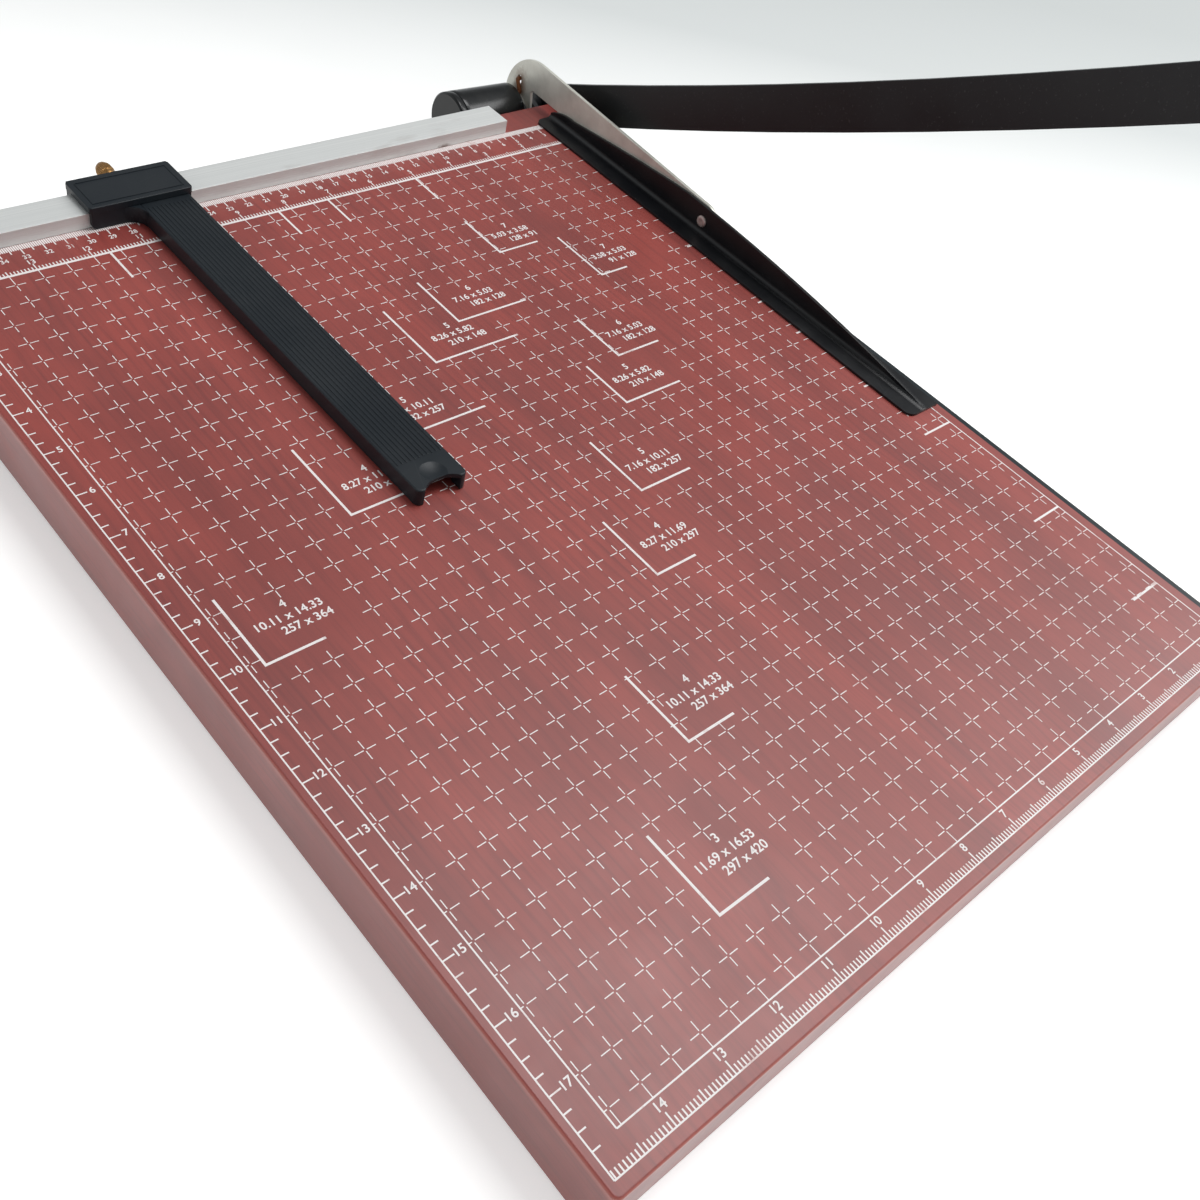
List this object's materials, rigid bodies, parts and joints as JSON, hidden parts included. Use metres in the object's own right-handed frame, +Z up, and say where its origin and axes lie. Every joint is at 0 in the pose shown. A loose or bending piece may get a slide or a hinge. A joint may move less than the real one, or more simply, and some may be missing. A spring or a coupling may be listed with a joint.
{
  "type": "lever paper trimmer",
  "caption": "Lever paper trimmer: printed wooden bed with a steel lower blade, curved blade arm, sprung guard bar with lift lever and a paper stop that slides on an aluminium rail.",
  "frame": {"origin": "the sheet's corner: where the cutting plane, the ruler's zero line at the fence and the bed's surface meet", "axes": "+X to the right across the cut, +Y to the rear along the blade, +Z up"},
  "size_m": [0.4, 0.5751, 0.3426],
  "materials": {
    "board_wood": "red mahogany stain, satin",
    "strip_steel": "blued, top edge ground",
    "rail_aluminium": "extruded, lightly brushed",
    "screw_steel": "zinc plated",
    "black_steel": "black, satin",
    "blade_steel": "black, satin, edge ground bright",
    "lever_steel": "zinc plated, satin",
    "rivet_steel": "plain, dull",
    "spring_steel": "plain wire, lightly rusted",
    "bush_brass": "turned",
    "cover_plastic": "black, gloss",
    "stop_plastic": "black moulding, slight sheen",
    "pad_plastic": "natural nylon",
    "foot_rubber": "black"
  },
  "bodies": {
    "base": {"base_board": "board_wood", "lower_blade": "strip_steel", "lower_blade_screws": "screw_steel", "rubber_feet": "foot_rubber", "foot_screws": "screw_steel", "guide_rail": "rail_aluminium", "rail_screws": "screw_steel", "hinge_bracket": "black_steel", "bracket_screws": "screw_steel", "pivot_bolt": "screw_steel", "pivot_nut": "screw_steel", "outer_washer": "screw_steel", "arm_spacer": "screw_steel", "lever_bush": "screw_steel", "lever_washers": "pad_plastic", "spring_sleeve": "screw_steel", "spring_seat": "black_steel", "spring_cover": "cover_plastic", "spring_cover_cap": "cover_plastic"},
    "blade_arm": {"blade_arm": "blade_steel", "arm_bush": "bush_brass", "handle_grip": "stop_plastic"},
    "guard": {"guard_bar": "black_steel", "lift_lever": "lever_steel", "lever_rivet": "rivet_steel", "torsion_spring": "spring_steel"},
    "paper_stop": {"stop_body": "stop_plastic", "clamp_insert": "bush_brass"},
    "clamp_pad": {"clamp_pad": "pad_plastic"},
    "clamp_screw": {"clamp_screw": "screw_steel", "clamp_knob": "bush_brass"}
  },
  "joints": [
    {"name": "arm_swing", "type": "hinge", "parent": "base", "child": "blade_arm", "pos_m": [0, 0.0365, -0.0095], "axis": [-1, 0, 0], "range_deg": [-26.6, 45]},
    {"name": "guard_lift", "type": "hinge", "parent": "base", "child": "guard", "pos_m": [0, 0.0365, -0.0095], "axis": [-1, 0, 0], "range_deg": [0, 12], "stiffness_Nm_per_rad": 0.6, "springref_deg": -20.05},
    {"name": "stop_slide", "type": "slide", "parent": "base", "child": "paper_stop", "axis": [1, 0, 0], "range_m": [-0.085, 0.18]},
    {"name": "pad_slide", "type": "slide", "parent": "paper_stop", "child": "clamp_pad", "axis": [0, 1, 0], "range_m": [0, 0.0007]},
    {"name": "clamp_turn", "type": "hinge", "parent": "clamp_pad", "child": "clamp_screw", "pos_m": [-0.2712, 0.0357, 0.0046], "axis": [0, 1, 0], "range_deg": [0, 360]}
  ],
  "couplings": [
    {"joint": "clamp_turn", "follows": "pad_slide", "rad_per_m": 8976}
  ]
}
